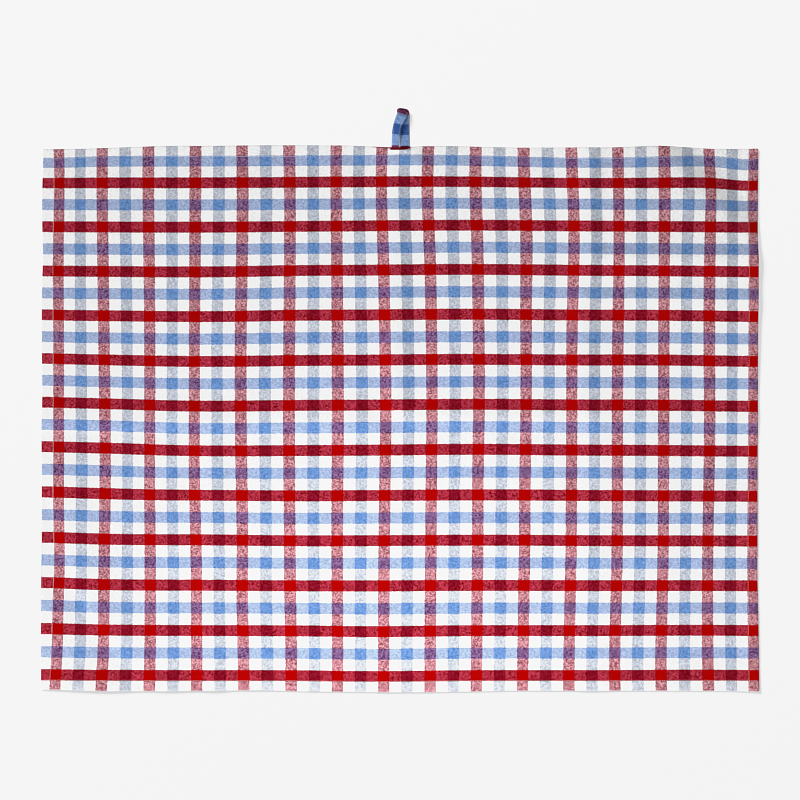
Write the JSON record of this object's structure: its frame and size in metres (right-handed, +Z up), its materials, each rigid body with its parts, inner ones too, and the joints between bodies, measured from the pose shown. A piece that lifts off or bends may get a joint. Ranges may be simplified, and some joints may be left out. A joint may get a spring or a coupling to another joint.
{
  "type": "tea towel",
  "caption": "Checked cotton tea towel lying flat, hemmed on all sides, with a small hanging loop at the middle of one long edge.",
  "frame": {"origin": "on the surface that the towel lies on, under the middle of the towel and its loop together", "axes": "+X along the towel's long side, +Y towards the hanging loop, +Z up, out of the towel's face"},
  "size_m": [0.6622, 0.5376, 0.0074],
  "materials": {
    "check_cotton": "plain-woven cotton in a red, blue and white check, matt",
    "loop_cotton": "folded and stitched strip of the same cotton, matt"
  },
  "bodies": {
    "root": {"towel": "check_cotton", "hanging_loop": "loop_cotton"}
  },
  "joints": []
}
